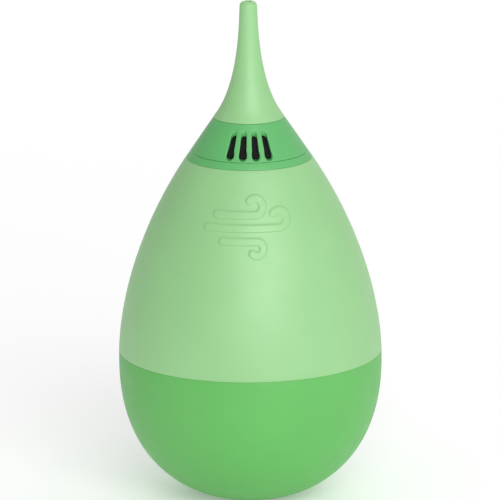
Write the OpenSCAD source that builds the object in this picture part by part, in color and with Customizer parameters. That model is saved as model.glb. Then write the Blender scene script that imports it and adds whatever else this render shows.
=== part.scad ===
// Hand air blower: a soft two-colour squeeze bulb that stands on its own weighted base, with a slotted
// air-intake collar, a replaceable filter, an intake flap, an outlet disc and a soft pointed nozzle.
// Millimetres, +Z up, origin at the centre of the flat foot. The front, with the first slots, faces -Y.

/* [Bulb] */
// Largest diameter of the bulb
bulb_d = 74.4; // [72:0.2:76]
// Height of the bulb's widest point above the foot
equator_h = 40; // [38:0.5:41]
// Height of the joint between the dark lower bulb and the light upper bulb
seam_h = 42; // [41:0.5:44]
// Wall of the upper bulb
upper_wall = 2.4; // [2:0.1:2.8]
// Wall of the lower bulb
lower_wall = 2.6; // [2.2:0.1:3]

/* [Collar] */
// Height of the lower edge of the fixed base ring
rim_low = 97.6; // [97.2:0.1:97.8]
// Height of the groove between the base ring and the slotted collar
groove_h = 99.4; // [99.1:0.1:99.6]
// Height of the edge between the collar and the nozzle
collar_top = 109; // [108.6:0.1:109.4]
// Wall of the slotted cone
collar_wall = 1.2; // [1:0.1:1.4]
// Slots in each of the two groups, front and back
slots_per_group = 4; // [2:1:5]
// Angle between neighbouring slots, in degrees
slot_pitch = 13.8; // [12:0.1:15]

/* [Nozzle] */
// Height of the nozzle's tip above the foot
total_h = 142; // [140:0.5:144]
// Diameter of the nozzle at its tip
tip_d = 4.9; // [4.4:0.1:5.4]
// Diameter of the air outlet
outlet_d = 2; // [1.6:0.1:2.4]
// Length of the straight part of the air outlet
outlet_l = 12; // [8:1:14]

/* [Valves] */
// Number of intake ports in the valve plate
port_count = 8; // [6:1:10]
// Diameter of each intake port
port_d = 2.8; // [2:0.1:3]
// Travel of the intake flap
flap_travel = 1.2; // [0.8:0.1:1.4]
// Travel of the outlet disc
disc_travel = 1.5; // [1:0.1:1.8]

/* [Thread] */
// Rise of the collar in one turn
lead = 4; // [3.6:0.2:4.4]
// Length of each thread ridge, in turns
ridge_turns = 0.75; // [0.5:0.05:0.75]

/* [Counterweight] */
// Diameter of the steel counterweight
weight_d = 31; // [28:0.5:32]
// Height of the steel counterweight
weight_h = 9.5; // [7:0.5:11]

/* [Hidden] */

$fn = 96;

pale_green = "#A9DC9C";
mid_green = "#6FC573";
deep_green = "#72C56E";
filter_black = "#1B1D1C";
seal_black = "#2A2C2B";
valve_white = "#E4E8E2";
silicone_clear = "#D9E3DC";
steel_grey = "#A7ABAE";

// ---------- Outline of the whole body, as [radius, height] ----------

bulb_r = bulb_d / 2;
dome_depth = equator_h + 0.8;   // the foot cuts the dome off a little above its pole
dome_power = 2.3;
cone_slope = 0.674;             // radius lost for each millimetre of height on the collar's cone
cone_r = 17.47;                 // radius of that cone where the bulb's shoulder meets it
cone_low = 97.9;
cone_high = 110.4;
tip_round = 1.3;
tip_slope = 0.05;

function bezier(p, t) =
  pow(1 - t, 3) * p[0] + 3 * pow(1 - t, 2) * t * p[1] + 3 * (1 - t) * t * t * p[2] + pow(t, 3) * p[3];
function unit(v) = v / norm(v);
function dome_r(z) = bulb_r * pow(1 - pow((equator_h - z) / dome_depth, dome_power), 1 / dome_power);

cone_dir = unit([-cone_slope, 1]);
tip_dir = unit([-tip_slope, 1]);
shoulder_end = [cone_r, cone_low];
nozzle_start = [cone_r - cone_slope * (cone_high - cone_low), cone_high];
nozzle_end = [tip_d / 2, total_h - tip_round];

shoulder = [[bulb_r, equator_h], [bulb_r, equator_h + 16], shoulder_end - 24 * cone_dir, shoulder_end];
nozzle_curve = [nozzle_start, nozzle_start + 11 * cone_dir, nozzle_end - 5.5 * tip_dir, nozzle_end];

outline = concat(
  [for (i = [0 : 22]) let (z = equator_h * (1 - cos(90 * i / 22))) [dome_r(z), z]],
  [for (i = [1 : 26]) bezier(shoulder, i / 26)],
  [for (i = [0 : 26]) bezier(nozzle_curve, i / 26)]
);

// The outline moved inwards by t, square to itself
function inset(points, t) = [
  for (i = [0 : len(points) - 1])
    let (d = unit(points[min(i + 1, len(points) - 1)] - points[max(i - 1, 0)]))
    points[i] + t * [-d[1], d[0]]
];
function by_height(points) = [for (p = points) [p[1], p[0]]];
function radius_at(points, z) = lookup(z, by_height(points));
// The stretch of a line of points between two heights, from the lower to the upper
function stretch(points, low, high) = concat(
  [[radius_at(points, low), low]],
  [for (p = points) if (p[1] > low + 0.05 && p[1] < high - 0.05) p],
  [[radius_at(points, high), high]]
);
function reversed(points) = [for (i = [len(points) - 1 : -1 : 0]) points[i]];
function outer_r(z) = radius_at(outline, z);

// ---------- Fits shared by several pieces ----------

gap = 0.15;                     // between pieces that turn or slide on each other
seat_gap = 0.05;                // between faces that rest on each other across a joint

sleeve_r = 14.2;                // outside of the base ring's sleeve, in the bulb's neck
sleeve_bore_r = 12.5;
sleeve_low = groove_h - 14.2;
neck_low = groove_h - 9.3;      // lower end of the bulb's thick neck
barb_h = 1.6;
barb_out = 0.7;
barb_tops = [rim_low - 4.8, rim_low - 1.9];

plate_low = groove_h - 9.8;     // underside of the valve plate, on the sleeve's ledge
plate_t = 2;
plate_top = plate_low + plate_t;
plate_r = sleeve_bore_r - gap;
ledge_r = 10.6;
boss_r = 4;
boss_low = plate_low - flap_travel - 2.4;
clip_groove_r = 3.5;
clip_t = 0.8;
clip_top = plate_low - flap_travel - 0.85;
flap_t = 0.8;
port_ring_r = 7.4;

chimney_r = 4.6;
chimney_bore_r = 3.4;
chimney_top = groove_h + 6.2;
outlet_port_r = 2;
outlet_seat_h = plate_top + 1;
disc_r = 3.15;
disc_t = 0.9;
retainer_h = 1.2;
retainer_low = outlet_seat_h + seat_gap + disc_t + disc_travel;

seal_section_r = 0.6;
seal_r = 11.2;
skirt_low = plate_top + 2 * seal_section_r + seat_gap;
skirt_r = 11.7;
skirt_bore_r = 10.3;
floor_t = 0.6;
floor_low = groove_h + seat_gap;
floor_top = floor_low + floor_t;
lip_low = collar_top - 1.4;     // underside of the lip that carries the nozzle
mouth_r = 6.15;

ridge_root = 0.8;               // height of a thread ridge at its root and at its crest
ridge_crest = 0.4;
ridge_out = 0.6;
ridge_bite = 0.3;               // how far a ridge runs into the wall that carries it
ridge_low = groove_h - 4.8;

slope_cos = cos(atan(cone_slope));
function cone_at(z, depth) = outer_r(z) - depth / slope_cos;
screen_t = 0.35;
foam_t = 1.9;
cage_t = 0.9;
screen_depth = collar_wall + gap;
foam_depth = screen_depth + screen_t + 0.05;
cage_depth = foam_depth + foam_t + 0.05;
filter_low = floor_top + 0.1;

// ---------- Building blocks ----------

module ring(r_out, r_in, low, high) {
  translate([0, 0, low]) difference() {
    cylinder(r = r_out, h = high - low);
    translate([0, 0, -1]) cylinder(r = r_in, h = high - low + 2);
  }
}

module o_ring(r, section_r, z) {
  translate([0, 0, z]) rotate_extrude() translate([r, 0]) circle(r = section_r, $fn = 32);
}

// A cone-shaped sleeve that lies under the collar's outer face, from depth to depth + t
module cone_sleeve(depth, t, low, high) {
  rotate_extrude() polygon([
    [cone_at(low, depth + t), low], [cone_at(low, depth), low],
    [cone_at(high, depth), high], [cone_at(high, depth + t), high]
  ]);
}

// Ridge points of one helix step: low root, low crest, high crest, high root
function ridge_section(r_root, r_crest, angle, z) = [
  for (p = [
    [r_root, -ridge_root / 2], [r_crest, -ridge_crest / 2],
    [r_crest, ridge_crest / 2], [r_root, ridge_root / 2]
  ])
    [p[0] * cos(angle), p[0] * sin(angle), z + p[1]]
];

// A right-hand thread ridge, from r_root in the wall to r_crest in the open
module thread_ridge(r_root, r_crest, low) {
  steps = round(48 * ridge_turns);
  turn = 360 * ridge_turns / steps;
  sections = [for (i = [0 : steps]) ridge_section(r_root, r_crest, i * turn, low + lead * i * turn / 360)];
  points = [for (s = sections) for (p = s) p];
  sides = [for (i = [0 : steps - 1]) for (k = [0 : 3])
    let (a = 4 * i + k, b = 4 * i + (k + 1) % 4) each [[a, b, a + 4], [b, b + 4, a + 4]]];
  inward = r_crest < r_root;
  faces = concat([[3, 2, 1, 0]], sides, [[for (k = [0 : 3]) 4 * steps + k]]);
  polyhedron(points, inward ? [for (f = faces) reversed(f)] : faces);
}

// Two ridges, half a turn apart
module thread(r_root, r_crest, low) {
  for (start = [0, 180]) rotate(start) thread_ridge(r_root, r_crest, low);
}

// Barbs that grip the bulb's neck, flat side up, as a line of points from the lowest to the highest
function barb_line(extra) = [
  for (top = barb_tops) each [
    [sleeve_r + extra, top - barb_h],
    [sleeve_r + extra + barb_out, top - 0.1 + extra],
    [sleeve_r + extra + barb_out, top + extra],
    [sleeve_r + extra, top + extra]
  ]
];

// ---------- Nozzle ----------

core_bore_r = 1.7;
core_low = groove_h - 2;
core_r = chimney_bore_r - 0.08;
core_flange_r = 5;
core_flange_low = collar_top - 2;
core_flange_t = 1.2;
core_neck_r = 2.9;
core_barb_r = 3.3;
core_top = collar_top + 7.4;
core_ring_z = groove_h + 1.2;
core_ring_section = 0.5;
core_ring_r = core_r - core_ring_section + 0.03;
spigot_r = 6;
spigot_low = chimney_top + 0.4;

// Outside of the core above its flange: a neck with one barb
core_head = [
  [core_neck_r, core_flange_low + core_flange_t],
  [core_neck_r, core_top - 4.4],
  [core_barb_r, core_top - 4.4],
  [core_neck_r - 0.5, core_top]
];

module nozzle() {
  skin = stretch(outline, collar_top + seat_gap, total_h - tip_round);
  bore_r = outlet_d / 2;
  tip_r = tip_d / 2;
  round_x = tip_r - tip_round;
  color(pale_green) rotate_extrude() polygon(concat(
    [[core_r, spigot_low], [spigot_r, spigot_low], [spigot_r, collar_top + seat_gap]],
    skin,
    [for (a = [15 : 15 : 90]) [round_x + tip_round * cos(a), total_h - tip_round + tip_round * sin(a)]],
    [[bore_r + 0.15, total_h], [bore_r, total_h - 0.15], [bore_r, total_h - outlet_l]],
    [[core_bore_r, core_top + 2], [core_bore_r, core_top]],
    reversed(core_head),
    [[core_flange_r, core_flange_low + core_flange_t], [core_flange_r, core_flange_low]],
    [[core_r, core_flange_low]]
  ));
}

module nozzle_core() {
  groove_low = core_ring_z - core_ring_section - 0.05;
  groove_high = core_ring_z + core_ring_section + 0.05;
  groove_r = core_ring_r - core_ring_section;
  color(valve_white) rotate_extrude() polygon(concat(
    [[core_bore_r, core_low], [core_r - 0.4, core_low], [core_r, core_low + 0.6]],
    [[core_r, groove_low], [groove_r, groove_low], [groove_r, groove_high], [core_r, groove_high]],
    [[core_r, core_flange_low], [core_flange_r, core_flange_low]],
    [[core_flange_r, core_flange_low + core_flange_t]],
    core_head,
    [[core_bore_r, core_top]]
  ));
}

module nozzle_o_ring() {
  color(seal_black) o_ring(core_ring_r, core_ring_section, core_ring_z);
}

// ---------- Collar and filter ----------

slot_tilt = 15;                 // each slot is cut through the wall this far off upright
slot_low = groove_h + 1;        // ends of a slot on the cone's face
slot_high = collar_top - 1.8;
slot_r_low = 0.97;              // a slot is wider at its lower end
slot_r_high = 0.66;

// Plan of one slot, along +X from the narrow end to the wide end, with true round ends
module slot_plan(length) {
  from = slot_r_high;
  to = length - slot_r_low;
  lean = asin((slot_r_low - slot_r_high) / (to - from));
  side = [cos(lean), sin(lean)];
  translate([from, 0]) circle(r = slot_r_high, $fn = 32);
  translate([to, 0]) circle(r = slot_r_low, $fn = 32);
  polygon([
    [from - slot_r_high * side[1], -slot_r_high * side[0]], [to - slot_r_low * side[1], -slot_r_low * side[0]],
    [to - slot_r_low * side[1], slot_r_low * side[0]], [from - slot_r_high * side[1], slot_r_high * side[0]]
  ]);
}

module slot_cutter() {
  high_r = outer_r(slot_high);
  drop = [outer_r(slot_low) - high_r, slot_high - slot_low];
  length = drop[0] * cos(slot_tilt) + drop[1] * sin(slot_tilt);
  translate([high_r, 0, slot_high]) rotate([0, slot_tilt, 0])
    translate([0, 0, -9]) linear_extrude(12) slot_plan(length);
}

module each_slot() {
  for (side = [-90, 90], i = [0 : slots_per_group - 1])
    rotate(side + (i - (slots_per_group - 1) / 2) * slot_pitch) children();
}

module intake_collar() {
  edge = 0.35;                  // softened edges at the groove
  color(mid_green) union() {
    difference() {
      rotate_extrude() polygon([
        [skirt_r - 0.3, floor_top], [skirt_r - 0.3, floor_low],
        [outer_r(floor_low) - edge, floor_low], [outer_r(floor_low + edge), floor_low + edge],
        [outer_r(collar_top - 0.15), collar_top - 0.15], [outer_r(collar_top) - 0.15, collar_top],
        [mouth_r, collar_top], [mouth_r, lip_low], [cone_at(lip_low, collar_wall), lip_low],
        [cone_at(floor_top, collar_wall), floor_top]
      ]);
      intersection() {
        each_slot() slot_cutter();
        translate([0, 0, floor_top]) cylinder(r = 20, h = 10);
      }
    }
    ring(skirt_r, skirt_bore_r, skirt_low, floor_top);
    thread(skirt_r - ridge_bite, skirt_r + ridge_out, ridge_low);
  }
}

module filter_screen() {
  color(filter_black) cone_sleeve(screen_depth, screen_t, filter_low, lip_low - 0.1);
}

module filter_foam() {
  color(filter_black) cone_sleeve(foam_depth, foam_t, filter_low, lip_low - 0.1);
}

module filter_cage() {
  deck_low = chimney_top - 1.2;
  cage_high = deck_low + 1.8;
  deck_t = 0.9;
  window_low = filter_low + 1;
  window_count = 8;
  color(valve_white) difference() {
    union() {
      cone_sleeve(cage_depth, cage_t, filter_low, cage_high);
      ring(cone_at(deck_low, cage_depth + cage_t / 2), chimney_r + gap, deck_low, deck_low + deck_t);
      ring(chimney_r + gap + 0.8, chimney_r + gap, deck_low - 1.6, deck_low + deck_t);
    }
    for (i = [0 : window_count - 1]) rotate(i * 360 / window_count)
      translate([6, -1.6, window_low]) cube([8, 3.2, deck_low - window_low - 0.4]);
  }
}

// ---------- Base ring and valves ----------

module base_ring() {
  edge = 0.35;
  color(mid_green) union() {
    rotate_extrude() polygon(concat(
      [[ledge_r, sleeve_low + 1.6], [ledge_r + 0.9, sleeve_low], [sleeve_r - 0.7, sleeve_low]],
      [[sleeve_r, sleeve_low + 1.4]],
      barb_line(0),
      [[sleeve_r, rim_low], [outer_r(rim_low), rim_low]],
      [[outer_r(groove_h - edge), groove_h - edge], [outer_r(groove_h) - edge, groove_h]],
      [[sleeve_bore_r + 0.4, groove_h], [sleeve_bore_r, groove_h - 0.4]],
      [[sleeve_bore_r, plate_low], [ledge_r, plate_low]]
    ));
    thread(sleeve_bore_r + ridge_bite, sleeve_bore_r - ridge_out, ridge_low + lead / 4);
  }
}

module plate_seal() {
  color(seal_black) o_ring(seal_r, seal_section_r, plate_top + seal_section_r);
}

module valve_plate() {
  color(valve_white) difference() {
    rotate_extrude() polygon([
      [outlet_port_r, boss_low], [boss_r - 0.4, boss_low], [boss_r, boss_low + 0.4],
      [boss_r, clip_top - clip_t], [clip_groove_r, clip_top - clip_t],
      [clip_groove_r, clip_top], [boss_r, clip_top],
      [boss_r, plate_low], [plate_r, plate_low], [plate_r, plate_top],
      [chimney_r, plate_top], [chimney_r, chimney_top], [chimney_bore_r + 0.3, chimney_top],
      [chimney_bore_r, chimney_top - 0.5], [chimney_bore_r, plate_top],
      [outlet_port_r + 0.6, plate_top], [outlet_port_r + 0.4, outlet_seat_h], [outlet_port_r, outlet_seat_h]
    ]);
    for (i = [0 : port_count - 1]) rotate((i + 0.5) * 360 / port_count)
      translate([port_ring_r, 0, plate_low - 1]) cylinder(d = port_d, h = plate_t + 2);
  }
}

module flap_clip() {
  color(steel_grey) difference() {
    ring(boss_r + 1.5, clip_groove_r + 0.03, clip_top - clip_t + 0.03, clip_top - 0.03);
    translate([0, -1, clip_top - 3]) cube([8, 2, 6]);
  }
}

module outlet_retainer() {
  color(valve_white) union() {
    ring(chimney_bore_r, chimney_bore_r - 0.7, retainer_low, retainer_low + retainer_h);
    translate([0, 0, retainer_low]) cylinder(r = 0.8, h = retainer_h);
    for (i = [0 : 2]) rotate(i * 120)
      translate([0, -0.35, retainer_low]) cube([chimney_bore_r - 0.3, 0.7, retainer_h]);
  }
}

module intake_flap() {
  color(silicone_clear) ring(9.9, boss_r + 0.2, plate_low - seat_gap - flap_t, plate_low - seat_gap);
}

module outlet_disc() {
  low = outlet_seat_h + seat_gap;
  color(silicone_clear) difference() {
    translate([0, 0, low]) cylinder(r = disc_r, h = disc_t);
    for (i = [0 : 2]) rotate(60 + i * 120) translate([disc_r + 0.35, 0, low - 1]) cylinder(r = 0.95, h = 3);
  }
}

// ---------- Bulb ----------

lap_h = 4;                      // the lower bulb's tongue reaches this far into the upper bulb
wall_line = inset(outline, upper_wall);
lap_line = inset(outline, upper_wall / 2);
bowl_line = inset(outline, lower_wall);

module upper_bulb() {
  neck_r = sleeve_r + seat_gap;
  wall_high = neck_low - 6;
  color(pale_green) rotate_extrude() polygon(concat(
    stretch(outline, seam_h, rim_low - seat_gap),
    [[neck_r, rim_low - seat_gap]],
    reversed(barb_line(seat_gap)),
    [[neck_r, neck_low + 0.6], [neck_r + 0.6, neck_low]],
    [[neck_r + 2.4, neck_low - 0.3], [neck_r + 5, neck_low - 1.6], [neck_r + 7, neck_low - 3.4]],
    reversed(stretch(wall_line, seam_h + lap_h, wall_high)),
    reversed(stretch(lap_line, seam_h, seam_h + lap_h))
  ));
}

floor_h = 6.8;                  // top of the lower bulb's thick floor
seat_low = 3.4;
seat_t = 2;
seat_r = 17;

module lower_bulb() {
  lip_r = weight_d / 2 + 0.4;
  color(deep_green) rotate_extrude() polygon(concat(
    [[0, 0]],
    stretch(outline, 0, seam_h),
    stretch(lap_line, seam_h, seam_h + lap_h),
    reversed(stretch(concat(
      [for (p = bowl_line) if (p[1] < seam_h - 1.5) p],
      stretch(wall_line, seam_h, seam_h + lap_h)
    ), floor_h + 0.8, seam_h + lap_h)),
    [[radius_at(bowl_line, floor_h + 0.8) - 1.6, floor_h], [lip_r, floor_h], [lip_r, seat_low + seat_t]],
    [[seat_r, seat_low + seat_t], [seat_r, seat_low], [0, seat_low]]
  ));
}

// ---------- Counterweight ----------

seat_top = seat_low + seat_t;
boss_seat_r = 4;
boss_seat_h = 3.2;
screw_r = 1.6;
screw_head_r = 3.2;
screw_head_h = 1.8;
washer_t = 0.8;
weight_top = seat_top + weight_h;

module weight_seat() {
  color(valve_white) difference() {
    union() {
      translate([0, 0, seat_low]) cylinder(r = seat_r, h = seat_t);
      translate([0, 0, seat_low]) cylinder(r = boss_seat_r, h = seat_t + boss_seat_h);
    }
    translate([0, 0, seat_low + 0.8]) cylinder(r = screw_r, h = seat_t + boss_seat_h);
  }
}

module counterweight() {
  r = weight_d / 2;
  dish_r = 6;
  dish_h = screw_head_h + washer_t + 0.4;
  color(steel_grey) rotate_extrude() polygon([
    [boss_seat_r + 0.1, seat_top], [r - 0.6, seat_top], [r, seat_top + 0.6],
    [r, weight_top - 1.4], [r - 1.4, weight_top],
    [dish_r, weight_top], [dish_r, weight_top - dish_h], [screw_r + 0.2, weight_top - dish_h],
    [screw_r + 0.2, seat_top + boss_seat_h + 0.1], [boss_seat_r + 0.1, seat_top + boss_seat_h + 0.1]
  ]);
}

washer_low = weight_top - screw_head_h - washer_t - 0.4;

module weight_washer() {
  color(steel_grey) ring(5.2, screw_r + 0.1, washer_low, washer_low + washer_t);
}

module weight_screw() {
  head_low = washer_low + washer_t;
  color(steel_grey) difference() {
    union() {
      translate([0, 0, seat_low + 1]) cylinder(r = screw_r, h = head_low - seat_low - 0.9);
      translate([0, 0, head_low]) cylinder(r = screw_head_r, h = screw_head_h);
    }
    for (a = [0, 90]) rotate(a) translate([-2, -0.4, head_low + screw_head_h - 1]) cube([4, 0.8, 2]);
  }
}

nozzle();
nozzle_core();
nozzle_o_ring();
intake_collar();
filter_screen();
filter_foam();
filter_cage();
base_ring();
plate_seal();
valve_plate();
flap_clip();
outlet_retainer();
intake_flap();
outlet_disc();
upper_bulb();
lower_bulb();
weight_seat();
counterweight();
weight_washer();
weight_screw();
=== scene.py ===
import math

import bpy
import numpy as np
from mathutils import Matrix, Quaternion, Vector


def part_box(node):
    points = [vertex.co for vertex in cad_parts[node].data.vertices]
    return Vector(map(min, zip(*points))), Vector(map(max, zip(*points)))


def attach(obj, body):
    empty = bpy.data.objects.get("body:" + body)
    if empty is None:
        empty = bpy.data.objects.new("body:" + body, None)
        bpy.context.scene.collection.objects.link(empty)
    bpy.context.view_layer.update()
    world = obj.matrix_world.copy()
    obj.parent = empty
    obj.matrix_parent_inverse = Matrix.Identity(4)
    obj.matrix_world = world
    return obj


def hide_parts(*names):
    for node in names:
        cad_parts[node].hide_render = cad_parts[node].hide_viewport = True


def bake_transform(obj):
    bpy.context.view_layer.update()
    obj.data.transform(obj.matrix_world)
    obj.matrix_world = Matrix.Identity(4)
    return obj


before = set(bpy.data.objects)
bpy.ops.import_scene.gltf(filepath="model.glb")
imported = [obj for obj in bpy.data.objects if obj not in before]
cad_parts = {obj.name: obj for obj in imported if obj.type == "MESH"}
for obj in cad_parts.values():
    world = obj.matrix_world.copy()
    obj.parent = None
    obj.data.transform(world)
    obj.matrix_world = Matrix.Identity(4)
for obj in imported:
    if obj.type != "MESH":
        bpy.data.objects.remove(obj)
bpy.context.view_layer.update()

MM = 0.001                      # every length below is in millimetres unless it says metres


# ---------- The blower's outline ----------

def low_of(node):
    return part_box(node)[0].z / MM


def top_of(node):
    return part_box(node)[1].z / MM


seat_gap = 0.05                 # between faces that rest on each other across a joint
seam_h = low_of("upper_bulb")
rim_low = top_of("upper_bulb") + seat_gap
groove_h = top_of("base_ring")
collar_top = top_of("intake_collar")
total_h = top_of("nozzle")
bulb_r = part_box("lower_bulb")[1].x / MM

equator_h = 40
dome_depth = equator_h + 0.8
dome_power = 2.3
cone_slope = 0.674              # radius lost for each millimetre of height on the collar's cone
cone_r = 17.47
cone_low = 97.9
cone_high = 110.4
tip_r = 2.45
tip_round = 1.3
tip_slope = 0.05
up_cone = Vector((-cone_slope, 1)).normalized()
up_tip = Vector((-tip_slope, 1)).normalized()
side_pull = 16                  # lengths of the handles that bend the side and the nozzle's flare
shoulder_pull = 24
flare_pull = 11
tip_pull = 5.5
dome_points = 60
curve_points = 80
outlet_r = 1
upper_wall = 2.4
lower_wall = 2.6
lap_h = 4


def bezier(corners, t):
    a, b, c, d = corners
    return a * (1 - t) ** 3 + 3 * b * t * (1 - t) ** 2 + 3 * c * (1 - t) * t ** 2 + d * t ** 3


def dome_radius(z):
    return bulb_r * (1 - ((equator_h - z) / dome_depth) ** dome_power) ** (1 / dome_power)


def outline_points():
    """The outer line from the foot to the nozzle's shoulder at its tip, as (radius, height)."""
    widest = Vector((bulb_r, equator_h))
    shoulder = Vector((cone_r, cone_low))
    nozzle_foot = Vector((cone_r - cone_slope * (cone_high - cone_low), cone_high))
    nozzle_end = Vector((tip_r, total_h - tip_round))
    side = [widest, widest + Vector((0, side_pull)), shoulder - shoulder_pull * up_cone, shoulder]
    flare = [
        nozzle_foot, nozzle_foot + flare_pull * up_cone,
        nozzle_end - tip_pull * up_tip, nozzle_end,
    ]
    points = []
    for i in range(dome_points):
        z = equator_h * (1 - math.cos(math.pi / 2 * i / dome_points))
        points.append((dome_radius(z), z))
    points += [tuple(bezier(side, i / curve_points)) for i in range(curve_points + 1)]
    points += [tuple(bezier(flare, i / curve_points)) for i in range(curve_points + 1)]
    return np.array(points)


def inward_normals(line):
    along = np.gradient(line, axis=0)
    along /= np.linalg.norm(along, axis=1)[:, None]
    return np.stack([-along[:, 1], along[:, 0]], 1)


outline = outline_points()
outline_inward = inward_normals(outline)


def skin_radius(z, depth=0.0):
    """Radius at a height, on the outer skin or on a skin that lies depth inside it."""
    moved = outline + depth * outline_inward
    return float(np.interp(z, moved[:, 1], moved[:, 0]))


def skin(low, high, count, depth=0.0):
    """Section points along the skin, each with no rounding."""
    heights = np.linspace(low, high, count)
    return [(skin_radius(z, depth), z, 0) for z in heights]


# ---------- Modelling by hand ----------

def deselect():
    bpy.ops.object.select_all(action="DESELECT")


def take(piece):
    """Makes the piece the active one and the only one selected."""
    deselect()
    piece.select_set(True)
    bpy.context.view_layer.objects.active = piece


def edit(piece):
    take(piece)
    bpy.ops.object.mode_set(mode="EDIT")


def leave_edit():
    bpy.ops.object.mode_set(mode="OBJECT")


def settle(piece):
    """Leaves the object at the origin, unturned and unscaled, with its place in its mesh."""
    take(piece)
    bpy.ops.object.transform_apply(location=True, rotation=True, scale=True)


def smooth(piece, crisp=35):
    """Shades the piece smooth, but for edges sharper than crisp degrees."""
    take(piece)
    bpy.ops.object.shade_smooth_by_angle(angle=math.radians(crisp))


def unpick(piece, kind):
    """Enters edit mode on points, edges or faces with none selected, and leaves it again."""
    edit(piece)
    bpy.ops.mesh.select_mode(type=kind)
    bpy.ops.mesh.select_all(action="DESELECT")
    leave_edit()


def pick_points(piece, wanted):
    """Selects the points whose place passes, and enters edit mode."""
    unpick(piece, "VERT")
    for point in piece.data.vertices:
        point.select = wanted(point.co / MM)
    edit(piece)


def pick_edges(piece, wanted):
    """Selects the edges whose two ends both pass, and enters edit mode."""
    unpick(piece, "EDGE")
    spots = [v.co / MM for v in piece.data.vertices]
    for line in piece.data.edges:
        line.select = all(wanted(spots[v]) for v in line.vertices)
    edit(piece)


def pick_faces(piece, wanted):
    """Selects the faces whose centre passes, and enters edit mode."""
    unpick(piece, "FACE")
    for face in piece.data.polygons:
        face.select = wanted(face.center / MM)
    edit(piece)


def move_point(piece, place, offset):
    reach = 0.25
    pick_points(piece, lambda spot: (spot - place).length < reach)
    bpy.ops.transform.translate(value=offset * MM)
    leave_edit()


def add_modifier(piece, kind, **settings):
    """Adds a modifier with its settings and applies it."""
    take(piece)
    modifier = piece.modifiers.new(kind.lower(), kind)
    for key, value in settings.items():
        setattr(modifier, key, value)
    bpy.ops.object.modifier_apply(modifier=modifier.name)


def join(base, *others):
    take(base)
    for piece in others:
        piece.select_set(True)
    bpy.ops.object.join()


def rounded(corners, closed, steps=3):
    """Section points (radius, height) with every corner (radius, height, rounding) turned into
    an arc. The ends of a section that isn't closed run on to the axis."""
    before = corners[-1] if closed else (0, corners[0][1], 0)
    after = corners[0] if closed else (0, corners[-1][1], 0)
    chain = [before, *corners, after]
    points = []
    for i, (r, z, rounding) in enumerate(corners):
        here = Vector((r, z))
        if not rounding:
            points.append(here)
            continue
        back = (Vector(chain[i][:2]) - here).normalized()
        ahead = (Vector(chain[i + 2][:2]) - here).normalized()
        half = back.angle(ahead) / 2
        centre = here + (back + ahead).normalized() * rounding / math.sin(half)
        start = here + back * rounding / math.tan(half) - centre
        end = here + ahead * rounding / math.tan(half) - centre
        for k in range(steps + 1):
            t = k / steps
            spoke = (start * (1 - t) + end * t).normalized() * rounding
            points.append(centre + spoke)
    return points


def draw_rings(name, section, segments):
    """A circle drawn up and scaled from one section point to the next, left in edit mode."""
    deselect()
    first = section[0]
    bpy.ops.mesh.primitive_circle_add(
        vertices=segments, radius=first.x * MM, location=(0, 0, first.y * MM))
    piece = bpy.context.object
    piece.name = name
    bpy.ops.object.mode_set(mode="EDIT")
    bpy.ops.mesh.select_mode(type="VERT")
    bpy.ops.mesh.select_all(action="SELECT")
    for below, above in zip(section, section[1:]):
        rise = (0, 0, (above.y - below.y) * MM)
        bpy.ops.mesh.extrude_region_move(TRANSFORM_OT_translate={"value": rise})
        growth = above.x / below.x
        bpy.ops.transform.resize(
            value=(growth, growth, 1), center_override=(0, 0, above.y * MM))
    bpy.ops.mesh.select_all(action="SELECT")
    return piece


def lathe(name, corners, segments=128, closed=True, crisp=35, steps=3):
    """A ring, drawn all round its section. A section that isn't closed has its two ends filled
    with flat discs."""
    section = rounded(corners, closed, steps)
    if closed:
        section = section + section[:1]
    piece = draw_rings(name, section, segments)
    bpy.ops.mesh.remove_doubles(threshold=1e-6)
    if not closed:
        bpy.ops.mesh.fill_holes(sides=0)
        leave_edit()
        fill_with_fans(piece)
    bpy.ops.mesh.normals_make_consistent(inside=False)
    leave_edit()
    settle(piece)
    smooth(piece, crisp)
    return piece


def fill_with_fans(piece):
    """Turns the many-sided faces into fans of triangles, and stays in edit mode."""
    unpick(piece, "FACE")
    for face in piece.data.polygons:
        face.select = len(face.vertices) > 4
    edit(piece)
    bpy.ops.mesh.poke()
    bpy.ops.mesh.select_all(action="SELECT")


# ---------- Materials ----------

def new_material(name):
    material = bpy.data.materials.new(name)
    material.use_nodes = True
    tree = material.node_tree
    shader = tree.nodes["Principled BSDF"]
    place = tree.nodes.new("ShaderNodeTexCoord")
    return material, tree, shader, place.outputs["Object"]


def noise(tree, place, scale, detail=4.0):
    node = tree.nodes.new("ShaderNodeTexNoise")
    node.inputs["Scale"].default_value = scale
    node.inputs["Detail"].default_value = detail
    tree.links.new(place, node.inputs["Vector"])
    return node.outputs["Fac"]


def spread(tree, value, low, high):
    """Maps a noise's middle range onto low to high."""
    node = tree.nodes.new("ShaderNodeMapRange")
    node.inputs["From Min"].default_value = 0.3
    node.inputs["From Max"].default_value = 0.7
    node.inputs["To Min"].default_value = low
    node.inputs["To Max"].default_value = high
    tree.links.new(value, node.inputs["Value"])
    return node.outputs["Result"]


def two_tone(tree, factor, colour_a, colour_b):
    node = tree.nodes.new("ShaderNodeMix")
    node.data_type = "RGBA"
    tree.links.new(factor, node.inputs["Factor"])
    node.inputs["A"].default_value = (*colour_a, 1)
    node.inputs["B"].default_value = (*colour_b, 1)
    return node.outputs["Result"]


def bump(tree, height, strength, distance, under=None):
    node = tree.nodes.new("ShaderNodeBump")
    node.inputs["Strength"].default_value = strength
    node.inputs["Distance"].default_value = distance
    tree.links.new(height, node.inputs["Height"])
    if under is not None:
        tree.links.new(under, node.inputs["Normal"])
    return node.outputs["Normal"]


def shade(colour, by):
    return tuple(c * by for c in colour)


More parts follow.
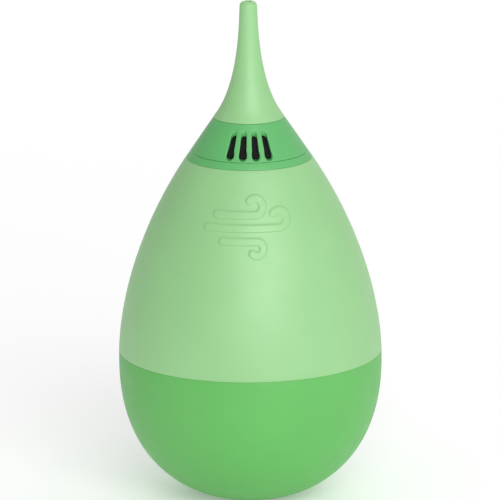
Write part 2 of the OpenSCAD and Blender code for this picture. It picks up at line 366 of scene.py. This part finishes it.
def silicone(name, colour, gloss=0.48, shine=0.95):
    """Soft moulded silicone: a faint clouding in the colour, a matt skin and a fine grain."""
    material, tree, shader, place = new_material(name)
    cloud = spread(tree, noise(tree, place, 55, detail=3), 0, 1)
    tone = two_tone(tree, cloud, shade(colour, 0.975), shade(colour, 1.02))
    tree.links.new(tone, shader.inputs["Base Color"])
    matt = spread(tree, noise(tree, place, 260, detail=5), gloss - 0.04, gloss + 0.05)
    tree.links.new(matt, shader.inputs["Roughness"])
    grain = noise(tree, place, 3200, detail=2)
    ripple = noise(tree, place, 140, detail=2)
    wavy = bump(tree, ripple, 0.08, 0.0004)
    tree.links.new(bump(tree, grain, 0.12, 0.00004, wavy), shader.inputs["Normal"])
    shader.inputs["Subsurface Weight"].default_value = 0.12
    shader.inputs["Subsurface Radius"].default_value = (0.6, 1.0, 0.5)
    shader.inputs["Subsurface Scale"].default_value = 0.0022
    shader.inputs["Specular IOR Level"].default_value = shine
    return material


def moulded_plastic(name, colour, gloss, shine):
    """Satin moulded plastic with a fine spark-eroded texture."""
    material, tree, shader, place = new_material(name)
    cloud = spread(tree, noise(tree, place, 90, detail=3), 0, 1)
    tone = two_tone(tree, cloud, shade(colour, 0.97), shade(colour, 1.03))
    tree.links.new(tone, shader.inputs["Base Color"])
    satin = spread(tree, noise(tree, place, 700, detail=4), gloss - 0.05, gloss + 0.06)
    tree.links.new(satin, shader.inputs["Roughness"])
    grain = noise(tree, place, 2600, detail=2)
    tree.links.new(bump(tree, grain, 0.05, 0.00002), shader.inputs["Normal"])
    shader.inputs["Specular IOR Level"].default_value = shine
    return material


def filter_black():
    """Open black filter foam: small dark cells."""
    material, tree, shader, place = new_material("filter_black")
    cells = tree.nodes.new("ShaderNodeTexVoronoi")
    cells.inputs["Scale"].default_value = 2400
    tree.links.new(place, cells.inputs["Vector"])
    wall = cells.outputs["Distance"]
    tone = two_tone(tree, wall, (0.004, 0.0045, 0.0042), (0.02, 0.022, 0.02))
    tree.links.new(tone, shader.inputs["Base Color"])
    tree.links.new(bump(tree, wall, 0.6, 0.0002), shader.inputs["Normal"])
    shader.inputs["Roughness"].default_value = 0.85
    return material


def seal_rubber():
    """Black O-ring rubber with a faint bloom."""
    material, tree, shader, place = new_material("seal_rubber")
    bloom = spread(tree, noise(tree, place, 500, detail=5), 0, 1)
    tone = two_tone(tree, bloom, (0.012, 0.012, 0.012), (0.03, 0.03, 0.03))
    tree.links.new(tone, shader.inputs["Base Color"])
    matt = spread(tree, noise(tree, place, 900), 0.45, 0.65)
    tree.links.new(matt, shader.inputs["Roughness"])
    tree.links.new(bump(tree, noise(tree, place, 4000), 0.1, 0.00003), shader.inputs["Normal"])
    return material


def turned_steel():
    """Lathe-turned steel: fine rings about the blower's axis."""
    material, tree, shader, place = new_material("turned_steel")
    rings = tree.nodes.new("ShaderNodeTexWave")
    rings.wave_type = "RINGS"
    rings.rings_direction = "Z"
    rings.inputs["Scale"].default_value = 900
    rings.inputs["Distortion"].default_value = 0.6
    tree.links.new(place, rings.inputs["Vector"])
    stain = noise(tree, place, 300, detail=6)
    tone = two_tone(tree, stain, (0.42, 0.43, 0.44), (0.58, 0.59, 0.6))
    tree.links.new(tone, shader.inputs["Base Color"])
    tree.links.new(spread(tree, rings.outputs["Fac"], 0.24, 0.36), shader.inputs["Roughness"])
    tree.links.new(bump(tree, rings.outputs["Fac"], 0.15, 0.00002), shader.inputs["Normal"])
    shader.inputs["Metallic"].default_value = 1
    return material


def clear_silicone():
    """Thin milky silicone of the two valve pieces."""
    material = silicone("clear_silicone", (0.66, 0.73, 0.68), gloss=0.3)
    shader = material.node_tree.nodes["Principled BSDF"]
    shader.inputs["Subsurface Weight"].default_value = 0.5
    return material


pale_green = silicone("pale_silicone", (0.268, 0.555, 0.228))
deep_green = silicone("deep_silicone", (0.11, 0.448, 0.094), shine=0.6)
collar_green = moulded_plastic("collar_plastic", (0.106, 0.43, 0.13), gloss=0.36, shine=0.55)
valve_white = moulded_plastic("valve_plastic", (0.75, 0.78, 0.74), gloss=0.34, shine=0.28)
filter_cloth = filter_black()
rubber_black = seal_rubber()
milky = clear_silicone()
steel = turned_steel()


def finish_piece(piece, material, slot, body, *nodes):
    """Gives a piece its material, hides the CAD nodes that it stands for and puts it on its body
    when one is given. The slot is not used."""
    piece.data.materials.clear()
    piece.data.materials.append(material)
    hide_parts(*nodes)
    if body:
        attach(piece, body)


# ---------- Bulb ----------

seam_round = 0.14               # softened edges at the joint of the two bulbs
rim_round = 0.06
sleeve_r = 14.2
neck_low = groove_h - 9.3
barb_h = 1.6
barb_out = 0.7
barb_tops = (rim_low - 4.8, rim_low - 1.9)
floor_h = 6.8
foot_round = 0.6
weight_lip_r = 15.9
weight_seat_low = 3.4
weight_seat_top = 5.4
weight_seat_r = 17


def barbs(grow):
    """The two gripping barbs on the base ring's sleeve, from the lower to the upper."""
    root_r = sleeve_r + grow
    point_r = root_r + barb_out
    line = []
    for top in barb_tops:
        line += [(root_r, top - barb_h, 0), (point_r, top - 0.1 + grow, 0)]
        line += [(point_r, top + grow, 0), (root_r, top + grow, 0)]
    return line


def make_upper_bulb():
    neck_r = sleeve_r + seat_gap
    neck_top = rim_low - seat_gap
    section = [(skin_radius(seam_h), seam_h, seam_round)]
    section += skin(seam_h + 1, rim_low - 1, 46)
    section += [(skin_radius(neck_top), neck_top, rim_round), (neck_r, neck_top, 0)]
    section += barbs(seat_gap)[::-1]
    section += [(neck_r, neck_low + 0.6, 0), (neck_r + 0.6, neck_low, 0)]
    section += [(neck_r + 2.4, neck_low - 0.3, 0), (neck_r + 5, neck_low - 1.6, 0)]
    section += [(neck_r + 7, neck_low - 3.4, 0)]
    section += skin(seam_h + lap_h, neck_low - 6, 22, upper_wall)[::-1]
    section += skin(seam_h, seam_h + lap_h, 2, upper_wall / 2)[::-1]
    return lathe("upper_bulb_skin", section)


def make_lower_bulb():
    lap_top = seam_h + lap_h
    inner_foot = floor_h + 0.8
    round_dome = np.radians(np.linspace(14, 88, 34))
    section = [(skin_radius(0), 0, foot_round)]
    section += [(skin_radius(z), z, 0) for z in equator_h * (1 - np.cos(round_dome))]
    section += [(skin_radius(seam_h), seam_h, seam_round)]
    section += [(skin_radius(seam_h, upper_wall / 2), seam_h, 0)]
    section += [(skin_radius(lap_top, upper_wall / 2), lap_top, 0.2)]
    section += [(skin_radius(lap_top, upper_wall), lap_top, 0.2)]
    section += skin(inner_foot, seam_h - 1.5, 24, lower_wall)[::-1]
    section += [(skin_radius(inner_foot, lower_wall) - 1.6, floor_h, 0)]
    section += [(weight_lip_r, floor_h, 0.2), (weight_lip_r, weight_seat_top, 0)]
    section += [(weight_seat_r, weight_seat_top, 0), (weight_seat_r, weight_seat_low, 0)]
    return lathe("lower_bulb_skin", section, closed=False)


# The generic sign on the front of the bulb: three gusts of wind, each a bar that ends in a curl

relief_height = 0.34
relief_half_width = 0.95
relief_soft = 0.4               # width of the slope at a stroke's edge
relief_centre = 83.6
relief_reach = (15, 11)         # half width and half height of the patch that carries it
relief_cuts = 6                 # how finely that patch is divided
curl_sweep = 225                # how far round each curl goes, in degrees


def gust(start_x, bar_z, end_x, curl_r, turn):
    """Points along one gust: a straight bar, then a curl that turns up (1) or down (-1)."""
    bar = [(x, bar_z) for x in np.linspace(start_x, end_x, 40)]
    angles = np.radians(np.linspace(-90, -90 + curl_sweep, 50))
    curl = [
        (end_x + curl_r * math.cos(a), bar_z + turn * curl_r * (1 + math.sin(a)))
        for a in angles
    ]
    return bar + curl


def gust_lines():
    lines = gust(-9, 2.9, 1.5, 2.1, 1)
    lines += gust(-11.5, -0.5, 8, 2.2, 1)
    lines += gust(-7.5, -3.9, 2, 1.8, -1)
    return np.array(lines)


def press_sign(piece):
    """Refines the front of the upper bulb, lays the new points on the true skin and raises the
    sign on it."""
    low = relief_centre - relief_reach[1]
    high = relief_centre + relief_reach[1]

    def on_patch(spot):
        outer = math.hypot(spot.x, spot.y) > skin_radius(spot.z) - 1
        front = spot.y < 0 and abs(spot.x) < relief_reach[0]
        return outer and front and low < spot.z < high

    pick_faces(piece, on_patch)
    bpy.ops.mesh.subdivide(number_cuts=relief_cuts)
    leave_edit()
    spots = np.empty(len(piece.data.vertices) * 3)
    piece.data.vertices.foreach_get("co", spots)
    spots = spots.reshape(-1, 3)
    x, y, z = (spots / MM).T
    radius = np.hypot(x, y)
    true_radius = np.interp(z, outline[:, 1], outline[:, 0])
    front = (y < 0) & (np.abs(x) < relief_reach[0] + 3) & (z > low - 2) & (z < high + 2)
    front &= np.abs(radius - true_radius) < 0.2
    away = np.full(len(x), np.inf)
    for line_x, line_z in gust_lines():
        to_line = np.hypot(x[front] - line_x, z[front] - relief_centre - line_z)
        away[front] = np.minimum(away[front], to_line)
    slope = np.clip((relief_half_width + relief_soft / 2 - away) / relief_soft, 0, 1)
    raised = relief_height * slope * slope * (3 - 2 * slope)
    growth = np.where(front, (true_radius + raised) / radius, 1)
    spots[:, 0] *= growth
    spots[:, 1] *= growth
    piece.data.vertices.foreach_set("co", spots.ravel())
    piece.data.update()


def make_bulb():
    upper = make_upper_bulb()
    press_sign(upper)
    smooth(upper)
    finish_piece(upper, pale_green, "pale_silicone", None, "upper_bulb")
    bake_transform(upper)
    finish_piece(make_lower_bulb(), deep_green, "deep_silicone", "bulb", "lower_bulb")


# ---------- Base ring and its thread ----------

sleeve_bore_r = 12.5
sleeve_low = groove_h - 14.2
plate_low = groove_h - 9.8
ledge_r = 10.6
ridge_low = groove_h - 4.8
ridge_root = 0.8
ridge_crest = 0.4
ridge_out = 0.6
ridge_bite = 0.3
ridge_turns = 0.75
ridge_steps = 72
lead = 4                        # rise of the thread in one turn


def add_thread(piece, root_r, crest_r, low):
    """Two thread ridges on the piece: a small section swept up the helix, and its copy half a
    turn round."""
    deselect()
    middle = (root_r + crest_r) / 2
    bpy.ops.mesh.primitive_plane_add(
        size=1, location=(middle * MM, 0, low * MM), rotation=(math.pi / 2, 0, 0))
    ridge = bpy.context.object
    ridge.scale = (abs(crest_r - root_r) * MM, ridge_root * MM, 1)
    settle(ridge)
    pick_edges(ridge, lambda spot: abs(spot.x - crest_r) < 0.01)
    bpy.ops.transform.resize(
        value=(1, 1, ridge_crest / ridge_root), center_override=(crest_r * MM, 0, low * MM))
    bpy.ops.mesh.select_all(action="SELECT")
    bpy.ops.mesh.delete(type="ONLY_FACE")
    leave_edit()
    add_modifier(
        ridge, "SCREW", angle=2 * math.pi * ridge_turns, screw_offset=lead * ridge_turns * MM,
        steps=ridge_steps, render_steps=ridge_steps, use_smooth_shade=False)
    edit(ridge)
    bpy.ops.mesh.select_all(action="SELECT")
    bpy.ops.mesh.fill_holes(sides=0)
    bpy.ops.mesh.normals_make_consistent(inside=False)
    leave_edit()
    other = ridge.copy()
    other.data = ridge.data.copy()
    bpy.context.collection.objects.link(other)
    other.rotation_euler.z = math.pi
    settle(other)
    join(piece, ridge, other)


def make_base_ring():
    section = [(ledge_r, sleeve_low + 1.6, 0.2), (ledge_r + 0.9, sleeve_low, 0.2)]
    section += [(sleeve_r - 0.7, sleeve_low, 0.2), (sleeve_r, sleeve_low + 1.4, 0)]
    section += barbs(0)
    section += [(sleeve_r, rim_low, 0), (skin_radius(rim_low), rim_low, rim_round)]
    section += [(skin_radius(groove_h), groove_h, 0.17)]
    section += [(sleeve_bore_r + 0.4, groove_h, 0.15), (sleeve_bore_r, groove_h - 0.4, 0.15)]
    section += [(sleeve_bore_r, plate_low, 0), (ledge_r, plate_low, 0.1)]
    ring = lathe("base_ring_body", section, steps=5)
    add_thread(
        ring, sleeve_bore_r + ridge_bite, sleeve_bore_r - ridge_out, ridge_low + lead / 4)
    finish_piece(ring, collar_green, "collar_plastic", "head", "base_ring")


# ---------- Slotted collar ----------

collar_wall = 1.2
collar_segments = 104           # the slots are two segments wide and two apart
slot_half = 2 * math.pi / collar_segments   # half a slot's width, as an angle about the axis
slot_low = groove_h + 0.55
slot_high = collar_top - 1.8
slot_upright = 0.84             # 1 if a slot's top went straight down through the wall
slot_rows = 4
slot_round = 0.6                # length of a slot's lower rounded end
slot_round_high = 0.42
slots_per_group = 4
slot_pinch_low = 0.36           # part of its half width by which a slot's end corners come in
slot_pinch_high = 0.24
slot_swell = 0.42               # how far a slot's round ends reach past their corners
slot_swell_inside = 0.3         # part of that swell that the lower end has on the inside
slot_spread_out = (0.05, -0.06)     # what is added to the half width, at the bottom and the top
slot_spread_in = (0.18, 0.06)
slot_rim = 0.22                 # rounding of a slot's outer rim
skirt_r = 11.7
skirt_bore_r = 10.3
plate_t = 2
seal_room = 1.25                # between the valve plate and the skirt, for the O-ring
skirt_low = plate_low + plate_t + seal_room
floor_low = groove_h + seat_gap
floor_top = floor_low + 0.33
inner_slot_low = floor_low + 0.45
inner_slot_high = slot_high - slot_upright * collar_wall / math.sin(math.atan(cone_slope))
lip_low = collar_top - 1.4
mouth_r = 6.15


def slot_azimuths():
    """Azimuths of the slots' middles about the axis, in radians, the front group first."""
    pitch = 4 * slot_half
    offsets = [(i - (slots_per_group - 1) / 2) * pitch for i in range(slots_per_group)]
    return [side + offset for side in (-math.pi / 2, math.pi / 2) for offset in offsets]


def azimuth_from(spot, middle):
    """Signed angle from a slot's middle to a point."""
    angle = math.atan2(spot.y, spot.x) - middle
    return (angle + math.pi) % (2 * math.pi) - math.pi


def slot_heights(low, high):
    """Heights of the rings of points along a slot, with those of its rounded ends."""
    return [low, *np.linspace(low + slot_round, high - slot_round_high, slot_rows), high]


outer_rows = slot_heights(slot_low, slot_high)
inner_rows = slot_heights(inner_slot_low, inner_slot_high)


def make_collar():
    def on_cone(z, depth, rounding=0):
        return skin_radius(z, depth), z, rounding

    section = [(skirt_r, floor_low, 0.2), on_cone(floor_low, 0, 0.1)]
    section += [on_cone(z, 0) for z in outer_rows]
    section += [on_cone(collar_top, 0, 0.12), (mouth_r, collar_top, 0.25)]
    section += [(mouth_r, lip_low, 0.15), on_cone(lip_low, collar_wall, 0.1)]
    section += [on_cone(z, collar_wall) for z in inner_rows[::-1]]
    section += [on_cone(floor_top, collar_wall, 0.04), (skirt_bore_r, floor_top, 0.1)]
    section += [(skirt_bore_r, skirt_low, 0.15), (skirt_r, skirt_low, 0.15)]
    collar = lathe("intake_collar_body", section, segments=collar_segments, steps=2)
    for middle in slot_azimuths():
        cut_slot(collar, middle)
    for middle in slot_azimuths():
        shape_slot(collar, middle, 0, outer_rows, slot_spread_out, 1)
        shape_slot(collar, middle, collar_wall, inner_rows, slot_spread_in, slot_swell_inside)
    round_slot_rims(collar)
    add_modifier(collar, "SUBSURF", levels=2, render_levels=2)
    settle(collar)
    smooth(collar, 40)
    add_thread(collar, skirt_r - ridge_bite, skirt_r + ridge_out, ridge_low)
    finish_piece(collar, collar_green, "collar_plastic", "collar", "intake_collar")


def cut_slot(collar, middle):
    """Takes the faces of one slot off both sides of the wall and joins the two holes' rims."""
    def on_slot(spot):
        if abs(azimuth_from(spot, middle)) > slot_half:
            return False
        across = math.hypot(spot.x, spot.y)
        if abs(across - skin_radius(spot.z)) < 0.1:
            return slot_low < spot.z < slot_high
        on_inside = abs(across - skin_radius(spot.z, collar_wall)) < 0.1
        return on_inside and inner_slot_low < spot.z < inner_slot_high

    pick_faces(collar, on_slot)
    bpy.ops.mesh.bridge_edge_loops()
    leave_edit()


def shape_slot(collar, middle, depth, rows, spread_by, lower_swell):
    """Sets a slot's sides a little apart, most at the lower end, and rounds its two ends."""
    across = Vector((-math.sin(middle), math.cos(middle), 0))
    outward = Vector((math.cos(middle), math.sin(middle), 0))
    along = outward * up_cone.x + Vector((0, 0, up_cone.y))
    wide_low, wide_high = spread_by
    for row, height in enumerate(rows):
        radius = skin_radius(height, depth)
        widen = wide_low + (wide_high - wide_low) * (row / (len(rows) - 1)) ** 3
        is_end = row in (0, len(rows) - 1)
        if is_end:
            widen -= (slot_pinch_high if row else slot_pinch_low) * radius * slot_half
        for side in (-1, 1):
            turn = middle + side * slot_half
            place = Vector((radius * math.cos(turn), radius * math.sin(turn), height))
            move_point(collar, place, across * side * widen)
        if is_end:
            swell = slot_swell if row else -slot_swell * lower_swell
            move_point(collar, outward * radius + Vector((0, 0, height)), along * swell)


def round_slot_rims(collar):
    def on_rim(spot):
        across = math.hypot(spot.x, spot.y)
        if abs(across - skin_radius(spot.z)) > 0.06 or not slot_low - 1 < spot.z < slot_high + 1:
            return False
        return any(abs(azimuth_from(spot, m)) < slot_half * 1.05 for m in slot_azimuths())

    unpick(collar, "EDGE")
    edit(collar)
    bpy.ops.mesh.edges_select_sharp(sharpness=math.radians(28))
    leave_edit()
    spots = [v.co / MM for v in collar.data.vertices]
    for line in collar.data.edges:
        line.select = line.select and all(on_rim(spots[v]) for v in line.vertices)
    edit(collar)
    bpy.ops.mesh.bevel(offset=slot_rim * MM, segments=2, affect="EDGES")
    leave_edit()


# ---------- Filter ----------

screen_depth = 1.35
screen_t = 0.35
screen_low = floor_low + 0.7
screen_high = lip_low - 0.1
wires_round = 180               # wires that run up the cone
wires_up = 22                   # rings of wire that cross them
wire_t = 0.16


def make_filter_screen():
    """Woven screen: a cone's grid of cells turned into wires."""
    middle = screen_depth + screen_t / 2
    heights = np.linspace(screen_low + 0.2, screen_high - 0.2, wires_up)
    section = [Vector((skin_radius(z, middle), z)) for z in heights]
    screen = draw_rings("filter_screen_mesh", section, wires_round)
    bpy.ops.mesh.normals_make_consistent(inside=False)
    leave_edit()
    settle(screen)
    add_modifier(
        screen, "WIREFRAME", thickness=wire_t * MM, use_boundary=True, use_even_offset=False)
    finish_piece(screen, filter_cloth, "filter_cloth", "filter_set", "filter_screen")


# ---------- Nozzle ----------

core_bore_r = 1.7
core_r = 3.32
core_low = groove_h - 2
core_flange_r = 5
core_flange_low = collar_top - 2
core_flange_top = core_flange_low + 1.2
core_neck_r = 2.9
core_barb_r = 3.3
core_top = collar_top + 7.4
core_ring_z = groove_h + 1.2
core_ring_section = 0.5
core_ring_r = core_r - core_ring_section + 0.03
spigot_r = 6
spigot_low = groove_h + 6.6
outlet_l = 12

core_head = [
    (core_neck_r, core_flange_top, 0), (core_neck_r, core_top - 4.4, 0),
    (core_barb_r, core_top - 4.4, 0.1), (core_neck_r - 0.5, core_top, 0),
]


def make_nozzle():
    foot = collar_top + seat_gap
    section = [(core_r, spigot_low, 0), (spigot_r, spigot_low, 0.25), (spigot_r, foot, 0)]
    section += [(skin_radius(foot), foot, 0.07)]
    section += skin(foot + 0.8, total_h - tip_round - 0.4, 48)
    section += [(tip_r, total_h - 0.95, 0.9), (tip_r - 0.6, total_h - 0.1, 0.6)]
    section += [(outlet_r, total_h, 0.25), (outlet_r, total_h - outlet_l, 0)]
    section += [(core_bore_r, core_top + 2, 0), (core_bore_r, core_top, 0)]
    section += core_head[::-1]
    section += [(core_flange_r, core_flange_top, 0), (core_flange_r, core_flange_low, 0)]
    section += [(core_r, core_flange_low, 0)]
    nozzle = lathe("nozzle_skin", section, segments=96, steps=6)
    finish_piece(nozzle, pale_green, "pale_silicone", "nozzle", "nozzle")


def make_nozzle_core():
    groove_r = core_ring_r - core_ring_section
    low = core_ring_z - core_ring_section - 0.05
    high = core_ring_z + core_ring_section + 0.05
    section = [(core_bore_r, core_low, 0.1), (core_r - 0.4, core_low, 0)]
    section += [(core_r, core_low + 0.6, 0.1), (core_r, low, 0.08), (groove_r, low, 0.1)]
    section += [(groove_r, high, 0.1), (core_r, high, 0.08), (core_r, core_flange_low, 0.1)]
    section += [(core_flange_r, core_flange_low, 0.15), (core_flange_r, core_flange_top, 0.15)]
    section += core_head
    section += [(core_bore_r, core_top, 0.05)]
    core = lathe("nozzle_core_tube", section, segments=72)
    finish_piece(core, valve_white, "valve_plastic", "nozzle", "nozzle_core")


def make_nozzle_seal():
    round_section = np.radians(np.arange(0, 360, 20))
    across = core_ring_r + core_ring_section * np.cos(round_section)
    up = core_ring_z + core_ring_section * np.sin(round_section)
    bead = [(r, z, 0) for r, z in zip(across, up)]
    seal = lathe("nozzle_seal_ring", bead, segments=72, crisp=60)
    finish_piece(seal, rubber_black, "seal_rubber", "nozzle", "nozzle_o_ring")


# ---------- CAD pieces that stay as they are ----------

def finish_inner_pieces():
    finishes = {
        "filter_foam": filter_cloth, "filter_cage": valve_white, "valve_plate": valve_white,
        "outlet_retainer": valve_white, "weight_seat": valve_white, "plate_seal": rubber_black,
        "intake_flap": milky, "outlet_disc": milky, "flap_clip": steel,
        "counterweight": steel, "weight_washer": steel, "weight_screw": steel,
    }
    for node, material in finishes.items():
        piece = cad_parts[node]
        for slot in piece.material_slots:
            slot.material = material


# ---------- Studio ----------

camera_back = 1409
camera_up = 423.9
aim_h = 70.5
lens = 371.1
camera_roll = math.radians(0.34)
floor_size = 12                 # metres, as are the softboxes' sizes and places below
softbox_size = (1.1, 0.9)
softbox_aim = (0, 0, 0.07)


def make_camera():
    data = bpy.data.cameras.new("camera")
    camera = bpy.data.objects.new("camera", data)
    bpy.context.collection.objects.link(camera)
    camera.location = Vector((0, -camera_back, camera_up)) * MM
    look = Vector((0, camera_back, aim_h - camera_up))
    camera.rotation_mode = "QUATERNION"
    camera.rotation_quaternion = look.to_track_quat("-Z", "Y") @ Quaternion((0, 0, 1), -camera_roll)
    data.lens = lens
    data.sensor_width = 36
    data.shift_x = 0.0005
    data.clip_start = 0.05
    data.clip_end = 30
    bpy.context.scene.camera = camera


def make_floor():
    deselect()
    bpy.ops.mesh.primitive_plane_add(size=floor_size)
    floor = bpy.context.object
    floor.name = "floor"
    material, tree, shader, place = new_material("floor_paper")
    tone = two_tone(tree, noise(tree, place, 6, detail=2), (0.84, 0.84, 0.84), (0.86, 0.86, 0.86))
    tree.links.new(tone, shader.inputs["Base Color"])
    shader.inputs["Roughness"].default_value = 0.9
    shader.inputs["Emission Color"].default_value = (1, 1, 1, 1)
    shader.inputs["Emission Strength"].default_value = 0.22
    floor.data.materials.append(material)


def add_softbox(name, place, power):
    data = bpy.data.lights.new(name, "AREA")
    data.shape = "RECTANGLE"
    data.size, data.size_y = softbox_size
    data.energy = power
    light = bpy.data.objects.new(name, data)
    bpy.context.collection.objects.link(light)
    light.location = place
    light.rotation_mode = "QUATERNION"
    light.rotation_quaternion = (Vector(softbox_aim) - Vector(place)).to_track_quat("-Z", "Y")


def make_dome():
    """A bright studio all round, dimmer on the left."""
    world = bpy.data.worlds.new("studio")
    bpy.context.scene.world = world
    world.use_nodes = True
    tree = world.node_tree
    background = tree.nodes["Background"]
    place = tree.nodes.new("ShaderNodeTexCoord")
    split = tree.nodes.new("ShaderNodeSeparateXYZ")
    ramp = tree.nodes.new("ShaderNodeValToRGB")
    shift = tree.nodes.new("ShaderNodeMapRange")
    shift.inputs["From Min"].default_value = -1
    shift.inputs["From Max"].default_value = 1
    tree.links.new(place.outputs["Generated"], split.inputs["Vector"])
    tree.links.new(split.outputs["X"], shift.inputs["Value"])
    tree.links.new(shift.outputs["Result"], ramp.inputs["Fac"])
    ramp.color_ramp.elements[0].color = (0.44, 0.44, 0.44, 1)
    ramp.color_ramp.elements[1].color = (0.75, 0.75, 0.75, 1)
    tree.links.new(ramp.outputs["Color"], background.inputs["Color"])
    background.inputs["Strength"].default_value = 1.0


def make_studio():
    make_camera()
    make_floor()
    make_dome()
    add_softbox("key", (0.36, -1.3, 0.8), power=13.5)
    add_softbox("back_fill", (0.1, 1.35, 0.75), power=5)
    scene = bpy.context.scene
    scene.view_settings.view_transform = "Standard"
    scene.view_settings.look = "None"


make_studio()
make_bulb()
make_base_ring()
make_collar()
make_filter_screen()
make_nozzle()
make_nozzle_core()
make_nozzle_seal()
finish_inner_pieces()
